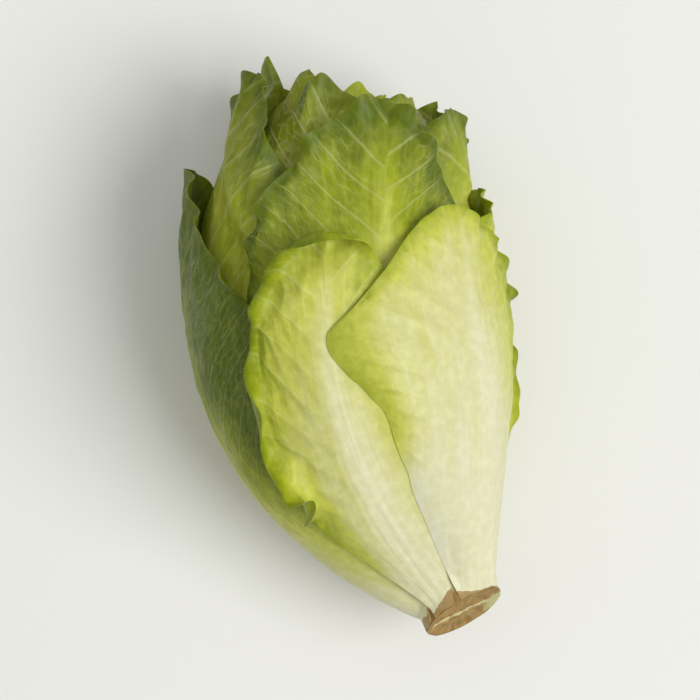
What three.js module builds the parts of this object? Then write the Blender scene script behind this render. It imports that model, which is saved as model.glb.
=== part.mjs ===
// A small, dense romaine-type lettuce head, trimmed and lying on its side.
// A conical stem, cut slantwise at its foot, carries a spiral of cupped leaves. Each leaf is its own
// solid: a thick pale rib that thins upwards, a thin blade, and a waved margin.
// Millimetres. +Z is up and +Y runs towards the leafy tip. The origin is on the surface that the head
// lies on, under the middle of its bounding box.
import * as THREE from "three";

// ---- the whole head ----
const headLength = 152; // along the curved axis, from the cut to the closed tip
const axisHeight = 36; // of the head's axis above the surface
const originShift = new THREE.Vector2(-1.12, 0.06); // brings the box's middle over the origin
// The axis seen from above, as a Bezier curve from the cut to the tip.
const axisPlan = new THREE.CubicBezierCurve(
  new THREE.Vector2(29.8, -66),
  new THREE.Vector2(5.5, -24.5),
  new THREE.Vector2(-14, 22),
  new THREE.Vector2(8, 79),
);
// The outside of the head: radius, and distance along the axis, from the foot to the tip.
const outerProfile = new THREE.SplineCurve([
  new THREE.Vector2(10.7, 2),
  new THREE.Vector2(17.8, 14),
  new THREE.Vector2(28, 33),
  new THREE.Vector2(36.2, 53),
  new THREE.Vector2(40.4, 75),
  new THREE.Vector2(38.6, 98),
  new THREE.Vector2(32.5, 119),
  new THREE.Vector2(22.5, 137),
  new THREE.Vector2(10, 149),
]);
// The middle of the head, where the innermost leaves meet: from the stem's top to the tip.
const coreProfile = new THREE.LineCurve(new THREE.Vector2(1.2, 50), new THREE.Vector2(0.4, 134));
const lumpiness = 0.012; // how far the outside wanders from round, as a share of the radius
const flatSoftness = 2.9; // rounding where the flat underside meets the round sides
const flatRelief = 1.6; // how far that rounding stays off the flat underside

// ---- the stem ----
const cutSlant = 0.4; // rise of the cut across the stem, per millimetre
const cutReach = 20; // how far up the head the slant fades out
const stemLand = 1.2; // height of the bare stem below the lowest leaf
const seatGap = 0.35; // between the stem and the leaves that grow from it
const stemSides = 28;
const stemRings = 7;

// ---- the leaves ----
const outerLeaves = 9;
const middleLeaves = 7;
const heartLeaves = 6;
const leafCount = outerLeaves + middleLeaves + heartLeaves;
const firstTurn = 38; // degrees round the axis, from +X through +Z
const spiralStep = -137.5;
// The five outermost leaves sit a little off the spiral and differ in width and reach.
const outerTurns = [38, 266, 103, 345, 186];
const outerTips = [0.71, 0.74, 0.68, 0.76, 0.74];
const outerFeet = [46, 50, 27, 48, 54];
const outerHalves = [45, 59, 36, 56, 66];
const outerSways = [3, 3, -9, -3, 2];
const innerTips = [0.85, 0.96]; // reach of the sixth leaf and of the innermost one
const footHalf = [52, 36]; // half the width of the outermost and the innermost leaf's foot, in degrees
const bladeHalf = [57, 62, 74]; // the same at its widest, for outer, middle and heart leaves
const tipRounding = [0.25, 0.17, 0.14]; // share of its length that a leaf's corner lies below its tip
const roundingPower = 2.2;
const bladeThickness = 0.8;
const ribThickness = 3.0; // added at the foot of the outermost leaf
const ribWidth = [8.5, 2.2]; // half-width of the rib at the foot and at the tip
const ribRise = 1.1; // how far a rib stands out of the leaf's outer face
const leafGap = [0.95, 3.7]; // free space under the outermost and the innermost leaf
const footGap = 0.6; // the most free space under a leaf's foot
const settleBand = [14, 17, 24]; // over which a leaf closes up beyond the margin above it, by its own band
const coverMargin = [1.5, 4, 6]; // how far a leaf's cover reaches past its margin, by the band beneath
const freeMargin = [4, 8, 10]; // how far beyond that margin a leaf stays flat, by band
const waveHeight = 3; // of the waves along a free margin
const waveLength = 19;
const waveDepth = 7; // how far the waves reach in from the margin
const tipFlare = 2.8; // how far a free tip stands out from the head

const radians = THREE.MathUtils.degToRad;
const smooth = (low, high, x) => THREE.MathUtils.smoothstep(x, low, high);
const mix = THREE.MathUtils.lerp;

// ---- the shape that all the leaves are packed into ----
const profileLength = outerProfile.getLength();

// Radius of the outside at a distance along the axis.
const radiusTable = outerProfile.getPoints(480);
function outerRadius(along) {
  const after = radiusTable.findIndex((p) => p.y > along);
  if (after === 0) return radiusTable[0].x;
  if (after < 0) return radiusTable[radiusTable.length - 1].x;
  const [p, q] = [radiusTable[after - 1], radiusTable[after]];
  return mix(p.x, q.x, (along - p.y) / (q.y - p.y));
}

// A ray runs from the outside to the core. Every leaf crosses it once, at its own depth.
function ray(height) {
  const outer = outerProfile.getPoint(height);
  const core = coreProfile.getPoint(height);
  const inward = core.clone().sub(outer);
  const length = inward.length();
  const slope = outerProfile.getTangent(height);
  const lean = (-slope.y * inward.x + slope.x * inward.y) / length; // against the leaf's own normal
  return { outer, inward: inward.divideScalar(length), length, lean };
}

// How far the outside is pressed in or wanders, as a factor on the radius.
function crossSection(turn, along) {
  const lump = Math.sin(3 * turn + 0.6) * Math.sin(along / 31) + 0.7 * Math.sin(2 * turn - along / 24 + 1);
  const radius = outerRadius(along);
  let reach = radius * (1 + lumpiness * lump);
  const down = -Math.sin(turn);
  if (down > 0.1) {
    const soft = (axisHeight + flatRelief) / down;
    reach = -flatSoftness * Math.log(Math.exp(-reach / flatSoftness) + Math.exp(-soft / flatSoftness));
    reach = Math.min(reach, axisHeight / down);
  }
  return reach / radius;
}

// From radius, distance along the axis and turn to a point of the head.
function toSpace(radius, along, turn) {
  const across = radius * crossSection(turn, along);
  const side = across * Math.cos(turn);
  const up = across * Math.sin(turn);
  const slanted = along + cutSlant * up * Math.exp(-((along / cutReach) ** 2));
  const at = slanted / headLength;
  const inside = THREE.MathUtils.clamp(at, 0, 1);
  const centre = axisPlan.getPoint(inside);
  const heading = axisPlan.getTangent(inside);
  centre.addScaledVector(heading, (at - inside) * headLength);
  return new THREE.Vector3(centre.x + heading.y * side, centre.y - heading.x * side, axisHeight + up);
}

function atDepth(depth, turn, height) {
  const { outer, inward } = ray(height);
  return toSpace(outer.x + inward.x * depth, outer.y + inward.y * depth, turn);
}

// ---- one leaf's outline and thickness ----
function leafPlan(index) {
  const inner = index / (leafCount - 1);
  const wobble = Math.sin(index * 2.4 + 1);
  const past = (index - outerTurns.length) / (leafCount - 1 - outerTurns.length);
  const band = index < outerLeaves ? 0 : index < outerLeaves + middleLeaves ? 1 : 2;
  return {
    index,
    turn: radians(outerTurns[index] ?? firstTurn + spiralStep * index),
    tip: outerTips[index] ?? mix(innerTips[0], innerTips[1], past) + 0.012 * wobble,
    foot: radians(outerFeet[index] ?? mix(footHalf[0], footHalf[1], inner)),
    half: radians(outerHalves[index] ?? bladeHalf[band] + 2.5 * wobble),
    sway: radians(outerSways[index] ?? 5 * Math.sin(index * 1.7 + 0.4)),
    gap: mix(leafGap[0], leafGap[1], inner),
    rib: ribThickness * (1 - 0.85 * inner),
    band,
  };
}

const leaves = Array.from({ length: leafCount }, (_, index) => leafPlan(index));

function halfTurn(leaf, height) {
  const x = height / leaf.tip;
  const widening = mix(leaf.foot, leaf.half, smooth(0, 0.55, x));
  return widening * (1 - 0.16 * smooth(0.72, 1.05, x));
}

function middleTurn(leaf, height) {
  return leaf.turn + leaf.sway * (height / leaf.tip) ** 2;
}

function tipHeight(leaf, across) {
  return leaf.tip * (1 - tipRounding[leaf.band] * Math.abs(across) ** roundingPower);
}

// Where a direction lies across a leaf: 0 on its rib, -1 and 1 on its margins.
function acrossLeaf(leaf, turn, height) {
  const off = turn - middleTurn(leaf, height);
  return Math.atan2(Math.sin(off), Math.cos(off)) / halfTurn(leaf, height);
}

function ribShape(leaf, across, height) {
  const x = Math.min(height / leaf.tip, 1);
  const halfWidth = halfTurn(leaf, height) * outerRadius(outerProfile.getPoint(height).y);
  const spread = mix(ribWidth[0], ribWidth[1], Math.sqrt(x));
  return Math.exp(-(((across * halfWidth) / spread) ** 2)) * (1 - x) ** 1.3;
}

function thickness(leaf, across, height) {
  return bladeThickness + leaf.rib * ribShape(leaf, across, height);
}

function gapUnder(leaf, height) {
  return mix(Math.min(leaf.gap, footGap), leaf.gap, smooth(0.05, 0.4, height));
}

// How far outside a leaf's outline a direction lies, in millimetres on the head's outside.
function beyond(leaf, turn, height) {
  const across = Math.abs(acrossLeaf(leaf, turn, height));
  const beside = Math.max(across - 1, 0) * halfTurn(leaf, height) * outerProfile.getPoint(height).x;
  const above = Math.max(height - tipHeight(leaf, Math.min(across, 1)), 0) * profileLength;
  return Math.hypot(beside, above);
}

// How deep a leaf lies under the ones outside it, and how free it is of them.
function bury(leaf, turn, height) {
  let depth = 0;
  let free = 1;
  for (const over of leaves.slice(0, leaf.index)) {
    const off = beyond(over, turn, height);
    const covered = 1 - smooth(0, settleBand[leaf.band], off - coverMargin[leaf.band]);
    depth += (thickness(over, acrossLeaf(over, turn, height), height) + gapUnder(over, height)) * covered;
    free *= smooth(0, settleBand[leaf.band], off - freeMargin[leaf.band]);
  }
  return { depth, free };
}

// How far a point of a leaf stands out from its buried place: ribs, waved margin and flared tip.
function standOut(leaf, across, height, turn, free) {
  const edge = Math.min(
    (1 - Math.abs(across)) * halfTurn(leaf, height) * outerProfile.getPoint(height).x,
    (tipHeight(leaf, across) - height) * profileLength,
  );
  const along = height * profileLength + 38 * (1 - Math.abs(across)) + 9 * across;
  const wave = 0.5 + 0.5 * Math.sin((2 * Math.PI * along) / waveLength + leaf.index * 1.9);
  const x = height / leaf.tip;
  const waves = waveHeight * wave * Math.exp(-edge / waveDepth) * smooth(0.3, 0.7, x);
  const flare = tipFlare * smooth(0.72, 1, x);
  const rise = ribRise * ribShape(leaf, across, height);
  const clear = smooth(0, 9, atDepth(0, turn, height).z); // nothing reaches below the surface
  return (waves + flare + rise) * free * free * clear;
}

// ---- closed meshes ----
// Joins an outer and an inner sheet of points, rows by columns, into one closed skin.
function skinGeometry(outer, inner, rows, columns) {
  const points = [...outer, ...inner];
  const faces = [];
  const at = (row, column) => row * columns + column;
  const under = outer.length;
  const quad = (a, b, c, d) => faces.push(a, c, b, a, d, c);
  for (let row = 0; row < rows - 1; row++) {
    for (let column = 0; column < columns - 1; column++) {
      const [a, b] = [at(row, column), at(row, column + 1)];
      const [c, d] = [at(row + 1, column + 1), at(row + 1, column)];
      quad(a, b, c, d);
      faces.push(under + a, under + b, under + c, under + a, under + c, under + d);
    }
  }
  for (let column = 0; column < columns - 1; column++) {
    const [a, b] = [at(0, column), at(0, column + 1)];
    quad(b, a, under + a, under + b);
    const [c, d] = [at(rows - 1, column), at(rows - 1, column + 1)];
    quad(c, d, under + d, under + c);
  }
  for (let row = 0; row < rows - 1; row++) {
    const [a, b] = [at(row, 0), at(row + 1, 0)];
    quad(a, b, under + b, under + a);
    const [c, d] = [at(row, columns - 1), at(row + 1, columns - 1)];
    quad(d, c, under + c, under + d);
  }
  return geometryOf(points, faces);
}

function geometryOf(points, faces) {
  const geometry = new THREE.BufferGeometry().setFromPoints(points);
  geometry.setIndex(faces);
  geometry.computeVertexNormals();
  return geometry;
}

// Rows from foot to tip and columns across, by band: the outer leaves are the finest.
const leafRows = [18, 13, 11];
const leafColumns = [14, 12, 10];

function leafGeometry(leaf) {
  const rows = leafRows[leaf.band];
  const columns = leafColumns[leaf.band];
  const outer = [];
  const inner = [];
  for (let row = 0; row < rows; row++) {
    const v = row / (rows - 1);
    for (let column = 0; column < columns; column++) {
      const evenly = (2 * column) / (columns - 1) - 1;
      const across = evenly * (1.2 - 0.2 * evenly * evenly); // closer together at the margins
      const corner = tipRounding[leaf.band] * Math.abs(across) ** roundingPower * v * v;
      const height = leaf.tip * v * (1 - corner);
      const turn = middleTurn(leaf, height) + halfTurn(leaf, height) * across;
      const { depth, free } = bury(leaf, turn, height);
      const lean = ray(height).lean;
      const face = depth / lean - standOut(leaf, across, height, turn, free);
      outer.push(atDepth(face, turn, height));
      inner.push(atDepth(face + thickness(leaf, across, height) / lean, turn, height));
    }
  }
  return skinGeometry(outer, inner, rows, columns);
}

// The stem: a disc at the cut, then a cone that the leaves grow from.
function stemGeometry() {
  const foot = outerProfile.getPoint(0);
  const top = coreProfile.getPoint(0);
  const profile = [
    [foot.x - seatGap, 0],
    [foot.x - seatGap, stemLand],
  ];
  for (let ring = 1; ring <= stemRings; ring++) {
    const x = ring / stemRings;
    profile.push([mix(foot.x, top.x, x) - seatGap, mix(stemLand, top.y, x)]);
  }
  const points = [toSpace(0, 0, 0)];
  const faces = [];
  for (const [radius, along] of profile)
    for (let side = 0; side < stemSides; side++)
      points.push(toSpace(radius, along, (2 * Math.PI * side) / stemSides));
  points.push(toSpace(0, top.y, 0));
  const last = points.length - 1;
  const at = (ring, side) => 1 + ring * stemSides + (side % stemSides);
  for (let side = 0; side < stemSides; side++) {
    faces.push(0, at(0, side), at(0, side + 1));
    faces.push(last, at(profile.length - 1, side + 1), at(profile.length - 1, side));
    for (let ring = 0; ring < profile.length - 1; ring++) {
      const [a, b] = [at(ring, side), at(ring, side + 1)];
      const [c, d] = [at(ring + 1, side + 1), at(ring + 1, side)];
      faces.push(a, d, c, a, c, b);
    }
  }
  return geometryOf(points, faces);
}

// ---- materials and assembly ----
const leafMaterials = [
  new THREE.MeshStandardMaterial({ color: 0xd3d6a0, roughness: 0.45, metalness: 0 }),
  new THREE.MeshStandardMaterial({ color: 0xc3cb7c, roughness: 0.5, metalness: 0 }),
  new THREE.MeshStandardMaterial({ color: 0xdde08e, roughness: 0.5, metalness: 0 }),
];
const stemMaterial = new THREE.MeshStandardMaterial({ color: 0xb39a62, roughness: 0.8, metalness: 0 });

const head = new THREE.Group();
head.position.set(originShift.x, originShift.y, 0);

const stem = new THREE.Mesh(stemGeometry(), stemMaterial);
stem.name = "stem";
head.add(stem);

const bandNames = ["outer_leaf", "middle_leaf", "heart_leaf"];
const bandStarts = [0, outerLeaves, outerLeaves + middleLeaves];
for (const leaf of leaves) {
  const number = leaf.index - bandStarts[leaf.band] + 1;
  const blade = new THREE.Mesh(leafGeometry(leaf), leafMaterials[leaf.band]);
  blade.name = `${bandNames[leaf.band]}_${String(number).padStart(2, "0")}`;
  head.add(blade);
}

export default head;
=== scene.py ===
import math
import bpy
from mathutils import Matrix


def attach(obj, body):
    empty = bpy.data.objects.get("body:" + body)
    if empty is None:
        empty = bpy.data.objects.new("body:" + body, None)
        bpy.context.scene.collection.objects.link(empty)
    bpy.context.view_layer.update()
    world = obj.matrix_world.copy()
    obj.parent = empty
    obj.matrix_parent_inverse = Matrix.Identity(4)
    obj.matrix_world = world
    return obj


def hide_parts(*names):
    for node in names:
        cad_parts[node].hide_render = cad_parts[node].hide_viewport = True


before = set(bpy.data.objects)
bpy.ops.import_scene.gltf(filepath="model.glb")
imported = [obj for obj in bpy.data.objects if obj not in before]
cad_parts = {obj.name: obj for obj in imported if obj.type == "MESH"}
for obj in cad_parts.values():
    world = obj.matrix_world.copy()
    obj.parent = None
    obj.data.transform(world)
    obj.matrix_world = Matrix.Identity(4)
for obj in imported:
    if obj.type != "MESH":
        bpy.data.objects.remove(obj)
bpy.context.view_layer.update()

from types import SimpleNamespace

import bpy
import numpy as np
from mathutils import Vector
from mathutils.bvhtree import BVHTree

mm = 0.001

# the head's form, in millimetres: the same numbers as the solids
headForm = {
    "length": 152,
    "axisHeight": 36,
    "shift": (-1.12, 0.06),
    "axis": [(29.8, -66), (5.5, -24.5), (-14, 22), (8, 79)],  # a Bezier curve from the cut to the tip
    "profile": [  # radius and distance along the axis
        (10.7, 2), (17.8, 14), (28, 33), (36.2, 53), (40.4, 75),
        (38.6, 98), (32.5, 119), (22.5, 137), (10, 149),
    ],
    "core": [(1.2, 50), (0.4, 134)],  # the line that the leaves are packed towards, in the same terms
    "lumpiness": 0.012,
    "flatSoftness": 2.9,  # how softly the round turns into the patch that it lies on
    "flatRelief": 1.6,
    "cutSlant": 0.4,
    "cutReach": 20,  # how far up the slant of the cut is felt
}

# turns and widths are in degrees round the head, heights are shares of the profile
leafForm = {
    "counts": (9, 7, 6),  # outer, middle and heart leaves
    "firstTurn": 38,
    "spiralStep": -137.5,
    "outerTurns": [38, 266, 103, 345, 186],  # of the leaves that show, in the order of the spiral
    "outerTips": [0.71, 0.74, 0.68, 0.76, 0.74],
    "outerFeet": [46, 50, 27, 48, 54],  # half their width at the foot
    "outerHalves": [45, 59, 36, 56, 66],  # and at the widest place
    "outerSways": [3, 3, -9, -3, 2],  # how far they turn from the foot to the tip
    "innerTips": (0.85, 0.96),
    "tipWobble": 0.012,
    "footHalf": (52, 36),
    "bladeHalf": (57, 62, 74),
    "halfWobble": 2.5,
    "innerSway": 5,
    "widestAt": 0.55,  # share of the leaf's length
    "narrowing": (0.16, 0.72, 1.05),  # share of its width lost by the tip, and where that starts and ends
    "tipRounding": (0.25, 0.17, 0.14),
    "roundingPower": 2.2,
    "blade": 0.8,
    "rib": 3.0,
    "ribLoss": 0.85,  # share of its thickness that the innermost rib lacks
    "ribWidth": (8.5, 2.2),
    "ribTaper": 1.3,
    "ribRise": 1.1,
    "gap": (0.95, 3.7),  # under a leaf, from the outermost to the innermost
    "footGap": 0.6,
    "gapGrows": (0.05, 0.4),
    "settleBand": (14, 17, 24),  # over which a leaf comes out from under another, by band
    "coverMargin": (1.5, 4, 6),
    "freeMargin": (4, 8, 10),
    "waveHeight": 3.0,
    "waveLength": 19,
    "waveDepth": 7,
    "waveTurn": (38, 9),  # how the waves run on round the tip
    "waveGrows": (0.3, 0.7),
    "tipFlare": 2.8,
    "flareGrows": (0.72, 1),
    "clearHeight": 9,  # above the floor, where a leaf may stand out in full
    "rows": (146, 104, 64),  # of the fine sheets, by band
    "columns": (112, 80, 52),
    "edgeThickness": (0.12, 0.32),  # of a blade at its margin, near the foot and farther up
    "edgeGrows": (0.1, 0.5),
    "edgeTaper": 6,  # over which it thins towards the margin
}

bandNames = ("outer_leaf", "middle_leaf", "heart_leaf")


def smooth(low, high, x):
    t = np.clip((x - low) / (high - low), 0, 1)
    return t * t * (3 - 2 * t)


def mix(a, b, t):
    return a + (b - a) * t


def valueNoise(x, y, seed):  # smooth noise from -1 to 1 with features one unit wide
    table = np.random.default_rng(seed).uniform(-1, 1, (64, 64))
    x0, y0 = np.floor(x).astype(int), np.floor(y).astype(int)
    fx, fy = x - x0, y - y0
    fx, fy = fx * fx * (3 - 2 * fx), fy * fy * (3 - 2 * fy)
    a, b = table[x0 % 64, y0 % 64], table[(x0 + 1) % 64, y0 % 64]
    c, d = table[x0 % 64, (y0 + 1) % 64], table[(x0 + 1) % 64, (y0 + 1) % 64]
    return mix(mix(a, b, fx), mix(c, d, fx), fy)


def cellNoise(x, y, seed):  # nearest and second nearest distance to jittered points one unit apart
    jitter = np.random.default_rng(seed).uniform(0.15, 0.85, (64, 64, 2))
    x0, y0 = np.floor(x).astype(int), np.floor(y).astype(int)
    found = []
    for i in (-1, 0, 1):
        for j in (-1, 0, 1):
            point = jitter[(x0 + i) % 64, (y0 + j) % 64]
            found.append(np.hypot(x0 + i + point[..., 0] - x, y0 + j + point[..., 1] - y))
    found = np.sort(np.array(found), axis=0)
    return found[0], found[1]


# the shape that the leaves are packed into
profilePoints = np.array(headForm["profile"], float)


def profileAt(t):  # a uniform Catmull-Rom curve through the profile's points
    t = np.asarray(t, float)
    n = len(profilePoints)
    place = (n - 1) * t
    k = np.clip(np.floor(place).astype(int), 0, n - 1)
    w = (place - k)[..., None]
    p0, p1 = profilePoints[np.maximum(k - 1, 0)], profilePoints[k]
    p2, p3 = profilePoints[np.minimum(k + 1, n - 1)], profilePoints[np.minimum(k + 2, n - 1)]
    v0, v1 = (p2 - p0) / 2, (p3 - p1) / 2
    return (2 * p1 - 2 * p2 + v0 + v1) * w**3 + (-3 * p1 + 3 * p2 - 2 * v0 - v1) * w**2 + v0 * w + p1


profileLine = profileAt(np.linspace(0, 1, 201))
profileLength = float(np.hypot(*np.diff(profileLine, axis=0).T).sum())
radiusLine = profileAt(np.linspace(0, 1, 481))


def outerRadius(along):
    return np.interp(along, radiusLine[:, 1], radiusLine[:, 0])


def rayAt(height):  # from the outside to the core; a leaf crosses it once
    outer = profileAt(height)
    low, high = np.array(headForm["core"], float)
    inward = mix(low, high, np.asarray(height)[..., None]) - outer
    length = np.linalg.norm(inward, axis=-1)
    ahead = profileAt(np.clip(height + 1e-4, 0, 1)) - profileAt(np.clip(height - 1e-4, 0, 1))
    slope = ahead / np.linalg.norm(ahead, axis=-1)[..., None]
    lean = (-slope[..., 1] * inward[..., 0] + slope[..., 0] * inward[..., 1]) / length
    return outer, inward / length[..., None], lean


def crossSection(turn, along):
    lump = np.sin(3 * turn + 0.6) * np.sin(along / 31) + 0.7 * np.sin(2 * turn - along / 24 + 1)
    radius = outerRadius(along)
    reach = radius * (1 + headForm["lumpiness"] * lump)
    down = np.maximum(-np.sin(turn), 0.1)
    softness = headForm["flatSoftness"]
    soft = (headForm["axisHeight"] + headForm["flatRelief"]) / down
    pressed = -softness * np.logaddexp(-reach / softness, -soft / softness)
    pressed = np.minimum(pressed, headForm["axisHeight"] / down)
    return np.where(-np.sin(turn) > 0.1, pressed, reach) / radius


def toSpace(radius, along, turn):
    across = radius * crossSection(turn, along)
    side, up = across * np.cos(turn), across * np.sin(turn)
    slanted = along + headForm["cutSlant"] * up * np.exp(-((along / headForm["cutReach"]) ** 2))
    at = slanted / headForm["length"]
    t = np.clip(at, 0, 1)[..., None]
    a, b, c, d = np.array(headForm["axis"], float)
    centre = a * (1 - t) ** 3 + 3 * b * (1 - t) ** 2 * t + 3 * c * (1 - t) * t**2 + d * t**3
    heading = (b - a) * (1 - t) ** 2 + 2 * (c - b) * (1 - t) * t + (d - c) * t**2
    heading /= np.linalg.norm(heading, axis=-1)[..., None]
    centre = centre + heading * ((at[..., None] - t) * headForm["length"])
    shift = headForm["shift"]
    x = centre[..., 0] + heading[..., 1] * side + shift[0]
    y = centre[..., 1] - heading[..., 0] * side + shift[1]
    return np.stack([x, y, headForm["axisHeight"] + up], axis=-1)


def atDepth(depth, turn, height):
    outer, inward, _ = rayAt(height)
    return toSpace(outer[..., 0] + inward[..., 0] * depth, outer[..., 1] + inward[..., 1] * depth, turn)


# each leaf's outline and thickness
def leafPlan(index):
    form = leafForm
    count = sum(form["counts"])
    inner = index / (count - 1)
    named = len(form["outerTurns"])
    wobble = math.sin(index * 2.4 + 1)
    past = (index - named) / (count - 1 - named)
    band = 0 if index < form["counts"][0] else 1 if index < sum(form["counts"][:2]) else 2
    leaf = {
        "index": index,
        "band": band,
        "inner": inner,
        "turn": form["firstTurn"] + form["spiralStep"] * index,
        "tip": mix(*form["innerTips"], past) + form["tipWobble"] * wobble,
        "foot": mix(*form["footHalf"], inner),
        "half": form["bladeHalf"][band] + form["halfWobble"] * wobble,
        "sway": form["innerSway"] * math.sin(index * 1.7 + 0.4),
        "gap": mix(*form["gap"], inner),
        "rib": form["rib"] * (1 - form["ribLoss"] * inner),
    }
    if index < named:
        for key, values in (("turn", "outerTurns"), ("tip", "outerTips"), ("foot", "outerFeet")):
            leaf[key] = form[values][index]
        leaf["half"] = form["outerHalves"][index]
        leaf["sway"] = form["outerSways"][index]
    for key in ("turn", "foot", "half", "sway"):
        leaf[key] = math.radians(leaf[key])
    number = index - (0, form["counts"][0], sum(form["counts"][:2]))[band] + 1
    leaf["node"] = f"{bandNames[band]}_{number:02d}"
    return leaf


leaves = [leafPlan(index) for index in range(sum(leafForm["counts"]))]


def halfTurn(leaf, height):
    x = height / leaf["tip"]
    lost, start, end = leafForm["narrowing"]
    widened = mix(leaf["foot"], leaf["half"], smooth(0, leafForm["widestAt"], x))
    return widened * (1 - lost * smooth(start, end, x))


def middleTurn(leaf, height):
    return leaf["turn"] + leaf["sway"] * (height / leaf["tip"]) ** 2


def tipHeight(leaf, across):
    rounding = leafForm["tipRounding"][leaf["band"]]
    return leaf["tip"] * (1 - rounding * np.abs(across) ** leafForm["roundingPower"])


def acrossLeaf(leaf, turn, height):
    off = turn - middleTurn(leaf, height)
    return np.arctan2(np.sin(off), np.cos(off)) / halfTurn(leaf, height)


def ribShape(leaf, across, height):
    x = np.minimum(height / leaf["tip"], 1)
    halfWidth = halfTurn(leaf, height) * outerRadius(profileAt(height)[..., 1])
    spread = mix(*leafForm["ribWidth"], np.sqrt(x))
    return np.exp(-((across * halfWidth / spread) ** 2)) * (1 - x) ** leafForm["ribTaper"]


def thickness(leaf, across, height):
    return leafForm["blade"] + leaf["rib"] * ribShape(leaf, across, height)


def gapUnder(leaf, height):
    atFoot = min(leaf["gap"], leafForm["footGap"])
    return mix(atFoot, leaf["gap"], smooth(*leafForm["gapGrows"], height))


def beyond(leaf, turn, height):  # the distance past a leaf's margin
    across = np.abs(acrossLeaf(leaf, turn, height))
    beside = np.maximum(across - 1, 0) * halfTurn(leaf, height) * profileAt(height)[..., 0]
    above = np.maximum(height - tipHeight(leaf, np.minimum(across, 1)), 0) * profileLength
    return np.hypot(beside, above)


def bury(leaf, turn, height):  # the depth of what lies over a leaf, and how free the leaf is of it
    depth, free = np.zeros_like(turn), np.ones_like(turn)
    band, margin = leaf["band"], leafForm["coverMargin"][leaf["band"]]
    settle = leafForm["settleBand"][band]
    for over in leaves[: leaf["index"]]:
        off = beyond(over, turn, height)
        covered = 1 - smooth(0, settle, off - margin)
        laid = thickness(over, acrossLeaf(over, turn, height), height) + gapUnder(over, height)
        depth += laid * covered
        free *= smooth(0, settle, off - leafForm["freeMargin"][band])
    return depth, free


def standOut(leaf, across, height, turn, free, waving):  # ribs, waves and flared tip, as on the solids
    form = leafForm
    sideEdge = (1 - np.abs(across)) * halfTurn(leaf, height) * profileAt(height)[..., 0]
    edge = np.minimum(sideEdge, (tipHeight(leaf, across) - height) * profileLength)
    tipTurn, sideTurn = form["waveTurn"]
    along = height * profileLength + tipTurn * (1 - np.abs(across)) + sideTurn * across
    wave = 0.5 + 0.5 * np.sin(2 * np.pi * along / form["waveLength"] + leaf["index"] * 1.9)
    x = height / leaf["tip"]
    waves = form["waveHeight"] * wave * waving * np.exp(-edge / form["waveDepth"])
    waves = waves * smooth(*form["waveGrows"], x)
    flare = form["tipFlare"] * smooth(*form["flareGrows"], x)
    rise = form["ribRise"] * ribShape(leaf, across, height)
    clear = smooth(0, form["clearHeight"], atDepth(np.zeros_like(turn), turn, height)[..., 2])
    return (waves + flare + rise) * free * free, clear


# the fine sheets, in millimetres; what grows does so between two shares of the leaf's length
relief = {
    "ribZone": (9.5, 2.4),  # half width of the smooth pale rib, at the foot and at the tip
    "veinSpacing": 9.5,  # between side veins, along the rib
    "veinSlope": (2.9, 0.85),  # rise of a side vein per millimetre sideways, at the foot and at the tip
    "veinSlopeEnds": 0.85,
    "veinWarp": 2.2,
    "veinWidth": (1.5, 0.7),  # at the rib and this far from it
    "veinNarrowed": 26,
    "veinRise": 0.42,
    "veinGrows": (0.2, 0.55),
    "cellSize": 5.2,  # of the blisters between the veins
    "cellScale": (1.15, 0.8),  # times this, from the outermost leaf to the innermost
    "cellLength": 1.5,
    "cellFlat": 0.7,  # share of a blister's round beyond which it is level
    "cellRise": 0.55,
    "cellGrows": (0.25, 0.8),
    "swell": 0.9,  # broad soft unevenness of a blade
    "swellSize": 19,
    "swellGrows": (0.2, 0.7),
    "smoothPart": (0.55, 0.95),  # between these a leaf stops being smoother than others
    "frill": 1.25,  # small waves at a free margin
    "frillLength": 9.0,
    "frillDepth": 3.6,
    "frillTurn": (26, 6),  # how they run on round the tip
    "frillGrows": (0.28, 0.55),
    "ragged": 0.9,  # how far a margin wanders
    "raggedLength": 7,
    "raggedDepth": 5,
    "raggedGrows": (0.15, 0.4),
    "raggedBand": (6, 2),  # it has faded out and is in full at these distances from the margin
    "insetGrows": (0.5, 0.75),
    "insetEnds": (0.85, 1.0),
    "drawnDepth": 9,  # over which the blade follows a margin that is drawn in or out
    "bowLength": 9,  # over which a blade bows inwards before a roll
    "corner": ((1.0, 0.5), (5.0, 3.0), (5.0, 2.0)),  # how far in and down beside the tip, by band
    "cornerGrows": (0.7, 1.0),
    "hugDepth": 5.0,  # over which a margin bends down onto what it covers
    "hugGap": 0.02,  # that is left there
    "hugLead": 2.5,  # how far it may have to rise instead
    "hugReach": 7.0,
    "hugLimits": (-1.5, 2.6),
    "hugSoftness": 6,  # rounds of smoothing
    "hugLeaves": 7,  # the leaves beneath that it may rest on
    "hugLeast": 0.02,  # share of a full hold below which a point stays where it is
    "hugGrows": (-0.05, 0.12),
    "hugLoss": (0.75, 0.6, 0.92),  # share of its hold lost towards the tip, and where that starts and ends
    "innerRoom": (1.6, 0.45),  # gap that gives a covered leaf all its room, and how much relief it has then
    "ribLines": 0.16,  # fine ridges that run along a rib
    "ribLineGap": 2.6,
    "sharpest": 62,  # degrees between faces that are still shaded as one
}

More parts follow.
